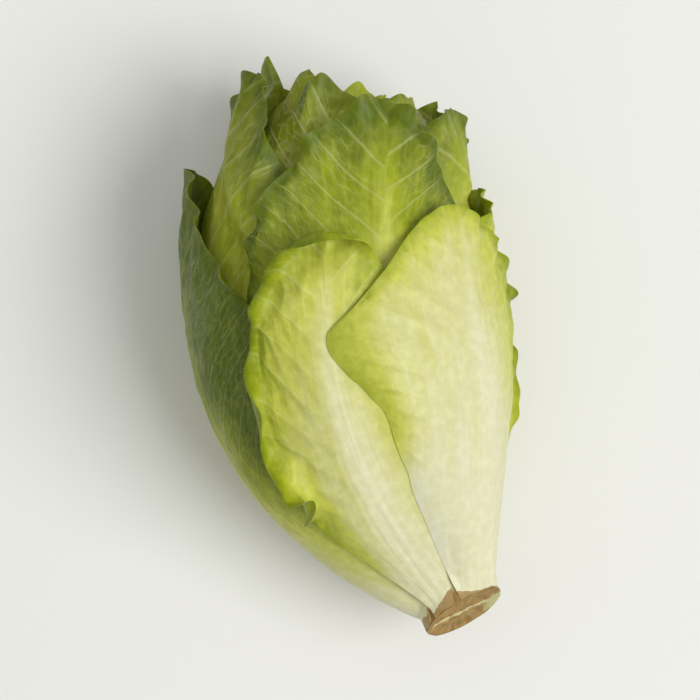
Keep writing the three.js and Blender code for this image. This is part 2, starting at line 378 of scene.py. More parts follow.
# margins that roll outwards: where along the leaf, over what share of it, radius and width of the roll, and
# how far the blade bows inwards before it; at the tip the place and the share are counted across the leaf
rolls = [
    {"leaf": 2, "side": "tip", "at": 0.05, "span": 0.55, "radius": 1.9, "width": 5.6, "bow": 3.7},
    {"leaf": 2, "side": "left", "at": 0.68, "span": 0.10, "radius": 1.9, "width": 5.0},
    {"leaf": 2, "side": "left", "at": 0.51, "span": 0.048, "radius": 2.6, "width": 9.0},
    {"leaf": 0, "side": "right", "at": 0.50, "span": 0.08, "radius": 2.4, "width": 3.8},
    {"leaf": 0, "side": "right", "at": 0.88, "span": 0.08, "radius": 3.4, "width": 5.0},
]

# bays in a margin: where along the leaf, over what share of it and how deep; a negative depth makes a lobe
bays = [
    {"leaf": 2, "side": "left", "at": 0.562, "span": 0.018, "depth": 3.2},
    {"leaf": 2, "side": "left", "at": 0.43, "span": 0.03, "depth": 1.8},
    {"leaf": 0, "side": "left", "at": 0.728, "span": 0.095, "depth": -10.2},
]

# each margin: how much of the wave and the frill it has, how ragged it is, how closely it lies on what is
# under it, how green its band is and from where up, and how far it draws in; "left" is towards higher turns
plainMargin = {"wave": 0.9, "frill": 0.9, "ragged": 1.0, "hug": 0.55, "green": 0.32, "from": 0.2, "inset": 0}
marginBlend = (-0.45, 0.45)  # places across the leaf between which one margin's values turn to the other's
margins = {
    (0, "left"): {"wave": 0.22, "frill": 0.16, "ragged": 0.45, "hug": 1.0, "green": 0.42, "from": 0.35},
    (0, "right"): {"wave": 0.8, "frill": 0.9, "ragged": 0.9, "hug": 0.7, "green": 0.32},
    (2, "left"): {
        "wave": 1.0, "frill": 1.5, "ragged": 1.6, "hug": 0.25, "green": 0.58, "from": 0.12, "inset": 4.5,
    },
    (2, "right"): {"wave": 0.5, "frill": 0.6, "ragged": 0.8, "hug": 0.8, "green": 0.06},
    (3, "left"): {"green": 0.14},
    (3, "right"): {"green": 0.14},
    (4, "left"): {"wave": 0.6, "frill": 0.5, "ragged": 0.8, "hug": 0.9, "green": 0.20},
    (4, "right"): {"wave": 0.7, "frill": 0.9, "ragged": 1.0, "hug": 0.7, "green": 0.30},
    (5, "left"): {"ragged": 0.6, "hug": 0.9},
    (12, "left"): {"wave": 0.3, "frill": 0.5},
    (12, "right"): {"wave": 0.3, "frill": 0.5},
}

# how green the leaves are: 0 is a rib's colour, 1 the darkest leaf's
greening = {
    "outside": (0.2, 0.98),  # at the foot and at the tip of a leaf on the outside
    "heart": (0.3, 0.46),  # and of one in the heart
    "leaves": {0: (0.02, 0.28), 1: (0.05, 0.62), 2: (0.13, 0.44), 3: (0.05, 0.56), 4: (0.17, 0.95)},
    "grows": (0.22, 1.02),
    "sidesAhead": 0.10,  # share of the leaf's length by which its margins are ahead
    "band": 5.5,  # millimetres over which a margin is greener
    "bandGrows": 0.24,  # share of the leaf over which this band comes in
    "right": {0: (0.38, 0.2), 2: (0.26, 0.12), 4: (0.60, 0.1)},  # how much greener the right side is, and from where up: partly the leaves' own colour, partly painted shade, on outer_leaf_05 in the shaded groove beside outer_leaf_03's left margin and on outer_leaf_01's right edge where it turns away from the light
    "rightGrows": 0.4,
    "ribPale": 0.86,  # share of the green that a rib lacks
    "ribRegains": 0.35,  # share of this that it has regained at the tip
    "ribGrows": (0.5, 1),
    "inside": 0.04,  # how much greener a leaf is on its inside
}

# soft patches of more green: millimetres to the left of the rib, height on the leaf, their size and amount
greenPatches = [{"leaf": 0, "at": (25.0, 0.66), "size": (8.0, 0.10), "green": 0.06}]

# the share of its veins and blisters that the lower part of a leaf shows
smoothness = {0: 0.35, 2: 0.6, 4: 0.5}


def marginValue(index, key, across):  # one margin's value, turning into the other's round the tip
    left = margins.get((index, "left"), {}).get(key, plainMargin[key])
    right = margins.get((index, "right"), {}).get(key, plainMargin[key])
    return mix(right, left, smooth(*marginBlend, across))


# the base of an outer leaf, which runs down the stem to the cut
base = {
    "rows": 7,
    "rim": (10.62, 0.3),  # radius and height of its end
    "ragged": 0.35,
    "thickness": 0.6,
    "tucked": 0.05,  # share of the way that a covered foot still reaches
    "clearOver": 2.5,  # beyond the leaves that lie over it
    "softRows": 16,
    "softness": 4,  # rounds of smoothing
    "length": 8.0,  # that the pattern counts along it
}


def withBase(leaf, radius, along, turn, blades, flow, mask):
    foot = turn[:1]
    uncovered = np.ones_like(foot)
    for over in leaves[: leaf["index"]]:
        uncovered = uncovered * smooth(0, base["clearOver"], beyond(over, foot, np.zeros_like(foot)))
    share = np.linspace(1, 0, base["rows"], endpoint=False)[:, None] * mix(base["tucked"], 1.0, uncovered)
    wander = base["ragged"] * valueNoise(foot * 4 + 20, foot * 0 + leaf["index"], 23)
    radius = np.concatenate([mix(radius[:1], base["rim"][0], share), radius])
    along = np.concatenate([mix(along[:1], base["rim"][1] + wander, share), along])
    last = base["softRows"]
    for _ in range(base["softness"]):
        for line in (radius, along):
            line[1:last] = (line[: last - 1] + 2 * line[1:last] + line[2 : last + 1]) / 4
    turn = np.concatenate([np.repeat(foot, base["rows"], axis=0), turn])
    blades = np.concatenate([mix(blades[:1], base["thickness"], np.sqrt(share)), blades])
    under = np.repeat(flow[:1], base["rows"], axis=0)
    under[..., 2] -= base["length"] * share
    flow = np.concatenate([under, flow])
    mask = np.concatenate([np.repeat(mask[:1], base["rows"], axis=0), mask])
    return radius, along, turn, blades, flow, mask


def flatLeaf(leaf):  # the leaf's grid laid flat: x across from the rib and y up from the foot
    form, band = leafForm, leaf["band"]
    rows, columns = form["rows"][band], form["columns"][band]
    at = SimpleNamespace()
    at.row = np.linspace(0, 1, rows)[:, None] * np.ones((1, columns))
    evenly = np.ones((rows, 1)) * np.linspace(-1, 1, columns)[None, :]
    at.across = evenly * (1.2 - 0.2 * evenly * evenly)  # closer together at the margins
    at.side = np.sign(at.across)
    corner = form["tipRounding"][band] * np.abs(at.across) ** form["roundingPower"] * at.row * at.row
    at.height = leaf["tip"] * at.row * (1 - corner)
    at.reach = at.height / leaf["tip"]
    at.halfWidth = halfTurn(leaf, at.height) * profileAt(at.height)[..., 0]
    at.x, at.y = at.across * at.halfWidth, at.height * profileLength
    at.sideEdge = (1 - np.abs(at.across)) * at.halfWidth
    at.topEdge = (tipHeight(leaf, at.across) - at.height) * profileLength
    at.edge = np.minimum(at.sideEdge, at.topEdge)
    at.ribZone = np.exp(-((at.x / mix(*relief["ribZone"], np.sqrt(at.reach))) ** 2)) * (1 - at.reach**3)
    return at


def isOn(at, side):
    return at.side > 0 if side == "left" else at.side < 0


def hump(place, settings):  # 1 at its middle, and fading beyond its span
    return np.exp(-(((place - settings["at"]) / settings["span"]) ** 2))


def shiftMargin(leaf, at):  # the margin wanders, is drawn in or out, and rolls outwards in places
    index, near = leaf["index"], relief["raggedBand"]
    long = relief["raggedLength"]
    wander = valueNoise(at.y / long + 3 * at.side, at.x / long + 9.1 * index, 11 + index) * relief["ragged"]
    wander = wander * marginValue(index, "ragged", at.across) * smooth(*relief["raggedGrows"], at.reach)
    wander = wander * np.exp(-at.edge / relief["raggedDepth"])
    drawn = marginValue(index, "inset", at.side) * smooth(*relief["insetGrows"], at.reach)
    drawn = drawn * (1 - smooth(*relief["insetEnds"], at.reach))
    for bay in bays:
        if bay["leaf"] == index:
            drawn = drawn + bay["depth"] * hump(at.reach, bay) * isOn(at, bay["side"])
    cornerIn, cornerDown = relief["corner"][leaf["band"]]
    cornered = smooth(*relief["cornerGrows"], at.row) * np.abs(at.across) ** 5
    sideways = np.abs(at.x) - drawn * np.exp(-at.sideEdge / relief["drawnDepth"])
    sideways = sideways + wander * smooth(*near, at.sideEdge) - cornerIn * cornered
    upwards = wander * smooth(*near, at.topEdge) - cornerDown * cornered
    rolled, sunk = np.zeros_like(at.x), np.zeros_like(at.x)
    for roll in rolls:
        if roll["leaf"] != index:
            continue
        atTip, width = roll["side"] == "tip", roll["width"]
        edge = at.topEdge if atTip else at.sideEdge
        strength = hump(at.across if atTip else at.reach, roll) * (1 if atTip else isOn(at, roll["side"]))
        inside = np.maximum(width - edge, 0)
        radius = roll["radius"] / np.maximum(strength, 0.001)
        drawnIn = inside - radius * np.sin(inside / radius)
        if atTip:
            upwards = upwards - drawnIn
        else:
            sideways = sideways - drawnIn
        rolled = rolled + radius * (1 - np.cos(inside / radius))
        sunk = sunk + roll.get("bow", 0) * strength * smooth(width + relief["bowLength"], width, edge)
    return sideways, upwards, rolled, sunk


def bladeRelief(leaf, at):  # side veins, the blisters between them and a broad swell; q counts the veins
    index, x, y = leaf["index"], at.x, at.y
    slope = mix(*relief["veinSlope"], smooth(0, relief["veinSlopeEnds"], at.reach))
    warp = relief["veinWarp"] * valueNoise(x / 14 + 5, y / 14 + index, 31 + index)
    q = (y - slope * np.abs(x) + warp) / relief["veinSpacing"] + 0.37 * (at.side > 0) + index * 0.21
    offVein = np.abs(q - np.floor(q) - 0.5) * relief["veinSpacing"] / np.sqrt(1 + slope * slope)
    veinWidth = mix(*relief["veinWidth"], np.clip(np.abs(x) / relief["veinNarrowed"], 0, 1))
    veins = np.exp(-((offVein / veinWidth) ** 2)) * (1 - at.ribZone)
    veins = veins * smooth(*relief["veinGrows"], at.reach) * smooth(0, 3, at.edge)

    size = relief["cellSize"] * mix(*relief["cellScale"], leaf["inner"])
    shaken = x / size + 0.3 * valueNoise(x / 6, y / 6, 51 + index)
    lengthwise = q * relief["veinSpacing"] / (size * relief["cellLength"])
    nearest, second = cellNoise(shaken, lengthwise, 71 + index)
    cells = np.clip(second - nearest, 0, relief["cellFlat"]) / relief["cellFlat"]
    blisters = -cells * (1 - at.ribZone) * smooth(*relief["cellGrows"], at.reach) * smooth(0, 4, at.edge)

    broad = relief["swellSize"]
    swell = valueNoise(x / broad + 7, y / broad * 0.8 + 3 * index, 91 + index)
    swell = swell * smooth(*relief["swellGrows"], at.reach) * (1 - 0.8 * at.ribZone)
    fine = relief["veinRise"] * veins + relief["cellRise"] * blisters + relief["swell"] * swell
    lower = 1 - smooth(*relief["smoothPart"], at.reach)
    return q, fine * mix(1.0, smoothness.get(index, 1.0), lower)


def marginFrill(leaf, at, height):
    index, across = leaf["index"], at.across
    tipTurn, sideTurn = relief["frillTurn"]
    along = height * profileLength + tipTurn * (1 - np.abs(across)) + sideTurn * across
    shaken = 2.3 * index + 2 * valueNoise(along / 18, at.x / 30, 5 + index)
    small = np.sin(2 * np.pi * along / relief["frillLength"] + shaken)
    uneven = 0.75 + 0.6 * valueNoise(along / 13 + 4, at.side * 5 + at.x / 50, 17 + index)
    frill = relief["frill"] * (0.55 + 0.45 * small) * uneven * marginValue(index, "frill", across)
    return frill * np.exp(-at.edge / relief["frillDepth"]) * smooth(*relief["frillGrows"], at.reach)


def leafGreen(leaf, at):
    index = leaf["index"]
    plain = [mix(*ends, leaf["inner"]) for ends in zip(greening["outside"], greening["heart"])]
    foot, tip = greening["leaves"].get(index, plain)
    ahead = greening["sidesAhead"] * np.abs(at.across) ** 2
    green = mix(foot, tip, smooth(*greening["grows"], at.reach + ahead))
    start = marginValue(index, "from", at.across)
    banded = np.exp(-at.edge / greening["band"]) * smooth(start, start + greening["bandGrows"], at.reach)
    green = green + marginValue(index, "green", at.across) * banded
    # the right side's extra green: partly the leaf's own colour, partly painted shade
    greenAndShade, start = greening["right"].get(index, (0, 0))
    side = np.maximum(-at.across, 0) * smooth(start, start + greening["rightGrows"], at.reach)
    green = green + greenAndShade * side
    for patch in greenPatches:
        if patch["leaf"] == index:
            offRib = (at.x - patch["at"][0]) / patch["size"][0]
            offHeight = (at.reach - patch["at"][1]) / patch["size"][1]
            green = green + patch["green"] * np.exp(-(offRib**2) - offHeight**2)
    regained = greening["ribRegains"] * smooth(*greening["ribGrows"], at.reach)
    return green * (1 - greening["ribPale"] * at.ribZone * (1 - regained))


def leafSheet(leaf):
    form, index = leafForm, leaf["index"]
    at = flatLeaf(leaf)
    sideways, upwards, rolled, sunk = shiftMargin(leaf, at)
    turned = at.side * sideways / np.maximum(at.halfWidth, 1) * halfTurn(leaf, at.height)
    turn = middleTurn(leaf, at.height) + turned
    height = np.clip(at.height + upwards / profileLength, 0, 0.99)
    onLeaf = np.minimum(height, leaf["tip"])

    # how far it stands out of its place among the others
    depth, free = bury(leaf, turn, height)
    uneven = 1 + 0.5 * valueNoise(at.y / 23 + 11 + 2 * at.side, at.x / 40 + index, 61 + index)
    waving = marginValue(index, "wave", at.across) * uneven
    raised, clear = standOut(leaf, at.across, onLeaf, turn, free, waving)
    q, fine = bladeRelief(leaf, at)
    fullRoom, part = relief["innerRoom"]
    room = part * np.minimum(leaf["gap"], fullRoom) / fullRoom  # a covered leaf has only its gap to move in
    lines = np.cos(2 * np.pi * at.x / relief["ribLineGap"]) * ribShape(leaf, at.across, onLeaf)
    outwards = (marginFrill(leaf, at, height) + rolled - sunk) * free
    lift = (raised + fine * mix(room, 1.0, free) + outwards + relief["ribLines"] * lines) * clear

    # how firmly the margin settles onto what it covers: more near the foot than near the tip
    lost, start, end = relief["hugLoss"]
    held = marginValue(index, "hug", at.across) * (1 - lost * smooth(start, end, at.reach))
    hugDepth = np.minimum(relief["hugDepth"], 0.4 * at.halfWidth)
    held = held * np.exp(-((at.edge / hugDepth) ** 2)) * smooth(0.4, 0.0, rolled)
    held = held * smooth(*relief["hugGrows"], at.reach)

    outline, inward, lean = rayAt(height)
    ray = (depth / lean - lift)[..., None]
    radius, along = np.moveaxis(outline + inward * ray, -1, 0)
    atEdge = mix(*form["edgeThickness"], smooth(*form["edgeGrows"], at.reach))
    blades = thickness(leaf, at.across, height) - form["blade"]
    blades += mix(atEdge, form["blade"], smooth(0, form["edgeTaper"], at.edge))
    flow = np.stack([q, at.x, at.y], axis=-1)
    mask = np.stack([at.ribZone, at.edge, leafGreen(leaf, at)], axis=-1)
    if leaf["band"] == 0:
        radius, along, turn, blades, flow, mask = withBase(leaf, radius, along, turn, blades, flow, mask)

    outer = toSpace(radius, along, turn)
    normal = np.cross(np.gradient(outer, axis=0), np.gradient(outer, axis=1))
    normal /= np.maximum(np.linalg.norm(normal, axis=-1), 1e-9)[..., None]
    added = len(outer) - len(held)
    held = np.concatenate([held[:1] * np.linspace(0, 1, added, endpoint=False)[:, None], held])
    return {"outer": outer, "normal": normal, "blades": blades, "held": held, "flow": flow, "mask": mask}


def settleMargin(sheet, beneath):  # bends a margin down onto the nearest leaf beneath, or up out of it
    lead, reachDown = relief["hugLead"], relief["hugReach"]
    outer, normal = sheet["outer"], sheet["normal"]
    push = np.full(outer.shape[:2], np.nan)
    for row, column in np.argwhere(sheet["held"] > relief["hugLeast"]):
        start = Vector(outer[row, column] + normal[row, column] * lead)
        hits = [tree.ray_cast(start, Vector(-normal[row, column]), reachDown)[3] for tree in beneath]
        hits = [hit for hit in hits if hit is not None]
        if hits:
            push[row, column] = min(hits) - lead - sheet["blades"][row, column] - relief["hugGap"]
    rows = np.arange(len(push))
    for column in range(push.shape[1]):  # where no ray arrived, the neighbours along the margin say how far
        known = np.isfinite(push[:, column])
        push[:, column] = np.interp(rows, rows[known], push[known, column]) if known.any() else 0
    push = np.clip(push, *relief["hugLimits"])
    for _ in range(relief["hugSoftness"]):
        push[1:-1] = (push[:-2] + 2 * push[1:-1] + push[2:]) / 4
        push[:, 1:-1] = (push[:, :-2] + 2 * push[:, 1:-1] + push[:, 2:]) / 4
    sheet["outer"] = outer - normal * (push * sheet["held"])[..., None]


def surfaceTree(sheet):  # what a leaf above can come to rest on
    rows, columns = sheet["outer"].shape[:2]
    at = np.arange(rows * columns).reshape(rows, columns)
    faces = np.stack([at[:-1, :-1], at[:-1, 1:], at[1:, 1:], at[1:, :-1]], axis=-1).reshape(-1, 4)
    return BVHTree.FromPolygons(sheet["outer"].reshape(-1, 3).tolist(), faces.tolist())


def gridMesh(name, points, quads):
    mesh = bpy.data.meshes.new(name)
    mesh.vertices.add(len(points))
    mesh.vertices.foreach_set("co", (points * mm).astype(np.float32).ravel())
    mesh.loops.add(quads.size)
    mesh.loops.foreach_set("vertex_index", quads.astype(np.int32).ravel())
    mesh.polygons.add(len(quads))
    mesh.polygons.foreach_set("loop_start", np.arange(0, quads.size, quads.shape[1], dtype=np.int32))
    mesh.update(calc_edges=True)
    return mesh


def pieceFrom(name, mesh, attributes, sharpest, material):  # edges sharper than so many degrees stay hard
    for key, values in attributes.items():
        held = mesh.attributes.new(key, "FLOAT_VECTOR", "POINT")
        held.data.foreach_set("vector", values.astype(np.float32).ravel())
    mesh.validate()
    mesh.shade_smooth()
    mesh.set_sharp_from_angle(angle=math.radians(sharpest))
    piece = bpy.data.objects.new(name, mesh)
    bpy.context.scene.collection.objects.link(piece)
    piece.data.materials.append(material)
    return piece


def gridQuads(rows, columns):  # an outer sheet, an inner sheet and the rim between them
    at = np.arange(rows * columns).reshape(rows, columns)
    under = at + rows * columns
    a, b, c, d = at[:-1, :-1], at[:-1, 1:], at[1:, 1:], at[1:, :-1]
    front = np.stack([a, d, c, b], axis=-1).reshape(-1, 4)
    back = np.stack([a, b, c, d], axis=-1).reshape(-1, 4) + rows * columns
    ring = np.concatenate([at[0, :], at[1:, -1], at[-1, -2::-1], at[-2:0:-1, 0]])
    ringUnder = np.concatenate([under[0, :], under[1:, -1], under[-1, -2::-1], under[-2:0:-1, 0]])
    rim = np.stack([ring, np.roll(ring, -1), np.roll(ringUnder, -1), ringUnder], axis=-1)
    return np.concatenate([front, back, rim])


def leafPiece(leaf, sheet, material):
    name = f"leaf.{leaf['node']}"
    inner = sheet["outer"] - sheet["normal"] * sheet["blades"][..., None]
    points = np.concatenate([sheet["outer"].reshape(-1, 3), inner.reshape(-1, 3)])
    mask = sheet["mask"].reshape(-1, 3)
    attributes = {
        "leafFlow": np.tile(sheet["flow"].reshape(-1, 3), (2, 1)),
        "leafMask": np.concatenate([mask, mask + np.array([0, 0, greening["inside"]])]),
    }
    mesh = gridMesh(name, points, gridQuads(*sheet["outer"].shape[:2]))
    piece = pieceFrom(name, mesh, attributes, relief["sharpest"], material)
    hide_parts(leaf["node"])
    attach(piece, "root")
    return piece


# materials
def colour(red, green, blue):  # from 0-255 screen values
    def linear(c):
        c = c / 255
        return c / 12.92 if c <= 0.04045 else ((c + 0.055) / 1.055) ** 2.4

    return (linear(red), linear(green), linear(blue), 1)


class Nodes:  # short calls for laying out nodes
    def __init__(self, tree):
        self.tree = tree

    def add(self, kind, inputs=(), **settings):
        node = self.tree.nodes.new(kind)
        for key, value in settings.items():
            setattr(node, key, value)
        for key, value in dict(inputs).items():
            self.give(node.inputs[key], value)
        return node

    def give(self, socket, value):
        if isinstance(value, bpy.types.NodeSocket):
            self.tree.links.new(value, socket)
        else:
            socket.default_value = value

    def sum(self, operation, a, b=0.0, c=0.0, clamp=False):
        node = self.add("ShaderNodeMath", {0: a, 1: b, 2: c}, operation=operation)
        node.use_clamp = clamp
        return node.outputs[0]

    def times(self, first, *others):
        for other in others:
            first = self.sum("MULTIPLY", first, other)
        return first

    def attribute(self, name):
        return self.add("ShaderNodeAttribute", attribute_name=name).outputs["Vector"]

    def parts(self, vector):
        return self.add("ShaderNodeSeparateXYZ", {0: vector}).outputs

    def vector(self, x, y, z=0.0):
        return self.add("ShaderNodeCombineXYZ", {0: x, 1: y, 2: z}).outputs[0]

    def noise(self, place, scale, detail, roughness=0.5, output=0):
        inputs = {"Vector": place, "Scale": scale, "Detail": detail, "Roughness": roughness}
        return self.add("ShaderNodeTexNoise", inputs).outputs[output]

    def fromHalf(self, value, size):  # a noise, centred on nought and made this large
        return self.times(self.sum("SUBTRACT", value, 0.5), size)

    def colours(self, value, stops):  # a ramp from places and colours, in order
        ramp = self.add("ShaderNodeValToRGB", {"Fac": value})
        elements = ramp.color_ramp.elements
        for element, (place, shade) in zip(elements, (stops[0], stops[-1])):
            element.position, element.color = place, shade
        for place, shade in stops[1:-1]:
            elements.new(place).color = shade
        return ramp.outputs[0]

    def ramp(self, value, low, high, a=0.0, b=1.0, kind="SMOOTHSTEP"):
        inputs = {"Value": value, "From Min": low, "From Max": high, "To Min": a, "To Max": b}
        return self.add("ShaderNodeMapRange", inputs, interpolation_type=kind).outputs[0]

    def blend(self, amount, a, b, kind="MIX"):
        node = self.add("ShaderNodeMix", data_type="RGBA", blend_type=kind)
        for key, value in ((0, amount), (6, a), (7, b)):
            self.give(node.inputs[key], value)
        return node.outputs[2]


def newGroup(name, inputs, outputs):
    group = bpy.data.node_groups.new(name, "ShaderNodeTree")
    for key, kind, value in inputs:
        socket = group.interface.new_socket(name=key, in_out="INPUT", socket_type=kind)
        if value is not None:
            socket.default_value = value
    for key, kind in outputs:
        group.interface.new_socket(name=key, in_out="OUTPUT", socket_type=kind)
    nodes = Nodes(group)
    return group, nodes, nodes.add("NodeGroupInput"), nodes.add("NodeGroupOutput")


leafColours = {
    "rib": colour(221, 218, 180),
    "pale": colour(212, 210, 150),
    "young": colour(192, 196, 78),
    "fresh": colour(149, 160, 22),
    "deep": colour(88, 104, 6),
    "vein": colour(210, 212, 148),
    "between": colour(206, 214, 176),  # times the colour of the cells between small veins
    "stain": colour(162, 128, 70),
    "scorch": colour(138, 104, 50),
}

# where on the scale of green each of them stands
greenScale = ((0.0, "rib"), (0.18, "pale"), (0.42, "young"), (0.7, "fresh"), (1.0, "deep"))

# the fine pattern: places in millimetres on the flattened leaf, noises on the head in waves per metre
leafDetail = {
    "veinShare": (0.085, 0.03),  # of the vein spacing, at the rib and far from it
    "veinReach": (2.0, 30.0),
    "finerVeins": 3.0,  # for each side vein
    "finerBend": (0.22, 2.4),
    "finerShare": 0.12,
    "finerAmount": 0.5,
    "finerReach": (3.0, 9.0),
    "netCells": (0.34, 2.3),  # per millimetre across and per side vein
    "netScale": 1.25,
    "netShake": (1.4, 0.16),
    "netShare": 0.13,
    "netColour": 0.55,
    "fibres": (1.1, 0.045),  # waves per millimetre, across and along the rib
    "fibreTone": 0.16,
    "streaks": (0.30, 0.028),
    "streakTone": 0.45,
    "patches": 62.0,
    "patchTone": (0.45, 0.15),  # more on green blades than on pale ones
    "specks": 420.0,
    "speckLight": 0.3,
    "leafy": (0.12, 0.55),  # green between which a blade begins to show its veins
    "cellDark": 0.34,
    "veinsIn": (0.5, 7.0, 0.25),  # from the margin, and how much of them is left at it
    "veinsUp": (30.0, 95.0, 0.35),  # from the foot, likewise
    "heights": {"veins": 0.9, "net": 0.7, "fibres": 0.8, "specks": 0.18},
    "rough": (0.36, 0.50),
    "leafyRough": 0.05,
    "stainLine": (-7.4, -6.6, 0.88),  # below and above the edge of the stain, and its strength
    "stainRagged": -6.0,
    "scorched": 0.6,
}

# a brown nick in the leaf bases at the top of the cut, in metres, and how far the stain rises there
nick = {"at": (0.0272, -0.0618, 0.0466), "radius": 0.0060, "height": 7.0}


def leafPattern():
    group, n, given, out = newGroup(
        "leafPattern",
        [
            ("Veins", "NodeSocketFloat", 0.5),
            ("Net", "NodeSocketFloat", 0.4),
            ("Mottle", "NodeSocketFloat", 0.5),
            ("Greener", "NodeSocketFloat", 0.0),
        ],
        [("Color", "NodeSocketColor"), ("Roughness", "NodeSocketFloat"), ("Height", "NodeSocketFloat")],
    )
    detail, given = leafDetail, given.outputs
    flow = n.attribute("leafFlow")
    q, x, y = n.parts(flow)
    rib, edge, green = n.parts(n.attribute("leafMask"))
    away = n.sum("ABSOLUTE", x)
    place = n.add("ShaderNodeTexCoord").outputs["Object"]
    blade = n.sum("SUBTRACT", 1.0, rib, clamp=True)
    leafy = n.ramp(green, *detail["leafy"])

    # side veins, and finer ones between them
    width = n.ramp(away, *detail["veinReach"], *detail["veinShare"], "LINEAR")
    off = n.sum("ABSOLUTE", n.sum("SUBTRACT", n.sum("FRACT", q), 0.5))
    main = n.ramp(off, 0.0, width, 1.0, 0.0)
    bendScale, bend = detail["finerBend"]
    bent = n.times(n.noise(flow, bendScale, 2.0), bend)
    finer = n.sum("MULTIPLY_ADD", q, detail["finerVeins"], bent)
    offFiner = n.sum("ABSOLUTE", n.sum("SUBTRACT", n.sum("FRACT", finer), 0.5))
    fine = n.ramp(offFiner, 0.0, detail["finerShare"], detail["finerAmount"], 0.0)
    veins = n.sum("MAXIMUM", main, n.times(fine, n.ramp(away, *detail["finerReach"])))

    # the net of small veins
    cellsAcross, cellsAlong = detail["netCells"]
    shakeScale, shake = detail["netShake"]
    netPlace = n.vector(n.times(x, cellsAcross), n.times(q, cellsAlong))
    shaken = n.noise(netPlace, shakeScale, 2.0, output="Color")
    netAt = n.add("ShaderNodeMix", data_type="VECTOR")
    for key, value in ((0, shake), (4, netPlace), (5, shaken)):
        n.give(netAt.inputs[key], value)
    inputs = {"Vector": netAt.outputs[1], "Scale": detail["netScale"]}
    cells = n.add("ShaderNodeTexVoronoi", inputs, feature="DISTANCE_TO_EDGE").outputs["Distance"]
    net = n.ramp(cells, 0.0, detail["netShare"], 1.0, 0.0)

    # long fibres of the rib, and uneven colour
    fibresAcross, fibresAlong = detail["fibres"]
    streaksAcross, streaksAlong = detail["streaks"]
    fibres = n.noise(n.vector(n.times(x, fibresAcross), n.times(y, fibresAlong), 3.0), 1.0, 3.0)
    streaks = n.noise(n.vector(n.times(x, streaksAcross), n.times(y, streaksAlong), 7.0), 1.0, 1.0)
    patches = n.noise(place, detail["patches"], 3.0, 0.55)
    specks = n.noise(place, detail["specks"], 2.0)
    patchy = n.fromHalf(patches, n.sum("MULTIPLY_ADD", leafy, *detail["patchTone"]))
    shade = n.sum("ADD", patchy, n.fromHalf(streaks, detail["streakTone"]))
    tone = n.sum("ADD", green, given["Greener"])
    tone = n.sum("ADD", tone, n.times(shade, given["Mottle"], blade))
    tone = n.sum("ADD", tone, n.fromHalf(fibres, detail["fibreTone"]))
    surface = n.colours(tone, [(position, leafColours[key]) for position, key in greenScale])

    # the veins on it
    near, far, least = detail["veinsIn"]
    inward = n.ramp(edge, near, far, least, 1.0)
    low, high, least = detail["veinsUp"]
    shown = n.times(leafy, blade, inward, n.ramp(y, low, high, least, 1.0))
    veinAmount = n.times(veins, given["Veins"], shown)
    netAmount = n.times(net, given["Net"], shown)
    surface = n.blend(veinAmount, surface, leafColours["vein"])
    surface = n.blend(n.times(netAmount, detail["netColour"]), surface, leafColours["vein"])
    darker = n.times(n.ramp(cells, 0.1, 0.5), leafy, blade, detail["cellDark"])
    surface = n.blend(darker, surface, n.blend(1.0, surface, leafColours["between"], "MULTIPLY"))
    lighter = n.ramp(specks, 0.35, 0.75, 0.0, detail["speckLight"])
    surface = n.blend(lighter, surface, n.blend(1.0, surface, surface, "SCREEN"))

    # the stain at the cut
    fromNick = n.add("ShaderNodeVectorMath", {0: place, 1: nick["at"]}, operation="DISTANCE")
    nicked = n.ramp(fromNick.outputs["Value"], 0.0, nick["radius"], nick["height"], 0.0)
    line = n.sum("SUBTRACT", n.sum("MULTIPLY_ADD", specks, detail["stainRagged"], y), nicked)
    scorched = n.ramp(patches, 0.35, 0.65, 0.0, detail["scorched"])
    stain = n.blend(scorched, leafColours["stain"], leafColours["scorch"])
    below, above, strength = detail["stainLine"]
    surface = n.blend(n.ramp(line, below, above, strength, 0.0), surface, stain)

    heights = detail["heights"]
    raised = n.sum("ADD", n.times(veinAmount, heights["veins"]), n.times(netAmount, heights["net"]))
    raised = n.sum("ADD", raised, n.times(fibres, heights["fibres"], n.sum("ADD", rib, 0.25)))
    raised = n.sum("ADD", raised, n.times(specks, heights["specks"]))
    rough = n.ramp(patches, 0.3, 0.7, *detail["rough"])
    rough = n.sum("ADD", rough, n.times(leafy, detail["leafyRough"]))
    for key, value in (("Color", surface), ("Roughness", rough), ("Height", raised)):
        n.give(out.inputs[key], value)
    return group


def newMaterial(name, soft):  # with its nodes and its shader, and as translucent as flesh
    material = bpy.data.materials.new(name)
    material.use_nodes = True
    shader = material.node_tree.nodes["Principled BSDF"]
    shader.inputs["Subsurface Weight"].default_value = soft["weight"]
    shader.inputs["Subsurface Radius"].default_value = soft["colours"]
    shader.inputs["Subsurface Scale"].default_value = soft["depth"]
    return material, Nodes(material.node_tree), shader


def finishMaterial(n, shader, surface, rough, height, bump):
    inputs = {"Height": height, "Strength": bump["strength"], "Distance": bump["height"]}
    raised = n.add("ShaderNodeBump", inputs)
    n.give(shader.inputs["Base Color"], surface)
    n.give(shader.inputs["Roughness"], rough)
    n.give(shader.inputs["Normal"], raised.outputs[0])


# how far light goes into a leaf, and how high its finest relief is, in metres
leafFlesh = {
    "soft": {"weight": 0.30, "colours": (1.0, 0.95, 0.35), "depth": 0.0022},
    "bump": {"strength": 0.55, "height": 0.0005},
    "specular": 0.27,
}


def leafMaterial(name, pattern, settings):
    material, n, shader = newMaterial(name, leafFlesh["soft"])
    look = n.add("ShaderNodeGroup", node_tree=pattern)
    for key, value in settings.items():
        look.inputs[key].default_value = value
    surface, rough, height = (look.outputs[key] for key in ("Color", "Roughness", "Height"))
    finishMaterial(n, shader, surface, rough, height, leafFlesh["bump"])
    shader.inputs["Specular IOR Level"].default_value = leafFlesh["specular"]
    return material


